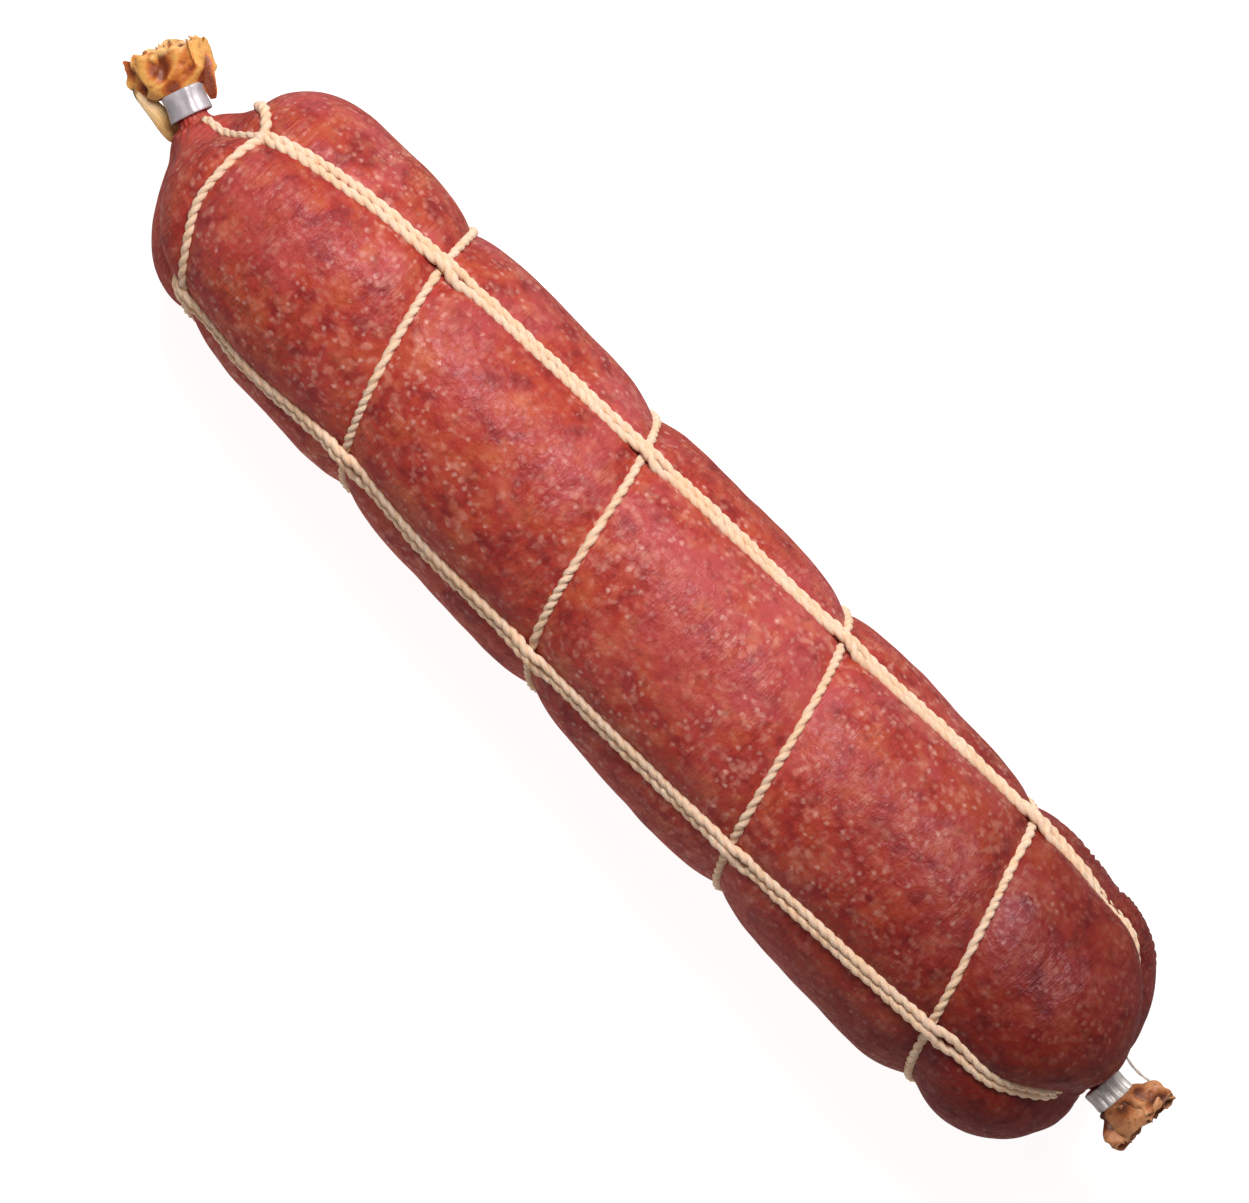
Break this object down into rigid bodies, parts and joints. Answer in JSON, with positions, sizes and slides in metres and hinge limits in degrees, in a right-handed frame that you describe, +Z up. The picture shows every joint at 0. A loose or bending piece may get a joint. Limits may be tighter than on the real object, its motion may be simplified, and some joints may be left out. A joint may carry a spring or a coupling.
{
  "type": "cured sausage",
  "caption": "Whole cured sausage lying on its side, tied lengthwise and round with natural twine, its gathered casing ends shut with crimped metal clips and left as ruffled tails.",
  "frame": {"origin": "under the middle of the whole object, on the surface it lies on", "axes": "+X along the sausage from its hanging end (the head) to its foot, +Z up out of the side shown, +Y to the side that is the upper right of the picture"},
  "size_m": [0.2996, 0.0622, 0.0617],
  "materials": {
    "cured_casing": "satin brick-red collagen casing drawn tight over coarse cured meat, pale fat flecks showing through, amber where it is ruffled past the clips",
    "twine": "twisted natural cotton twine, cream to tan, matte and slightly hairy",
    "clip_aluminium": "crimped bright aluminium, brushed and ridged",
    "thread": "thin grey thread end"
  },
  "bodies": {
    "root": {"casing": "cured_casing", "head_clip": "clip_aluminium", "foot_clip": "clip_aluminium", "twine_winding": "twine", "twine_right_a": "twine", "twine_right_b": "twine", "twine_under_right_a": "twine", "twine_under_right_b": "twine", "twine_under_left_a": "twine", "twine_under_left_b": "twine", "twine_left_a": "twine", "twine_left_b": "twine", "foot_thread": "thread"}
  },
  "joints": []
}
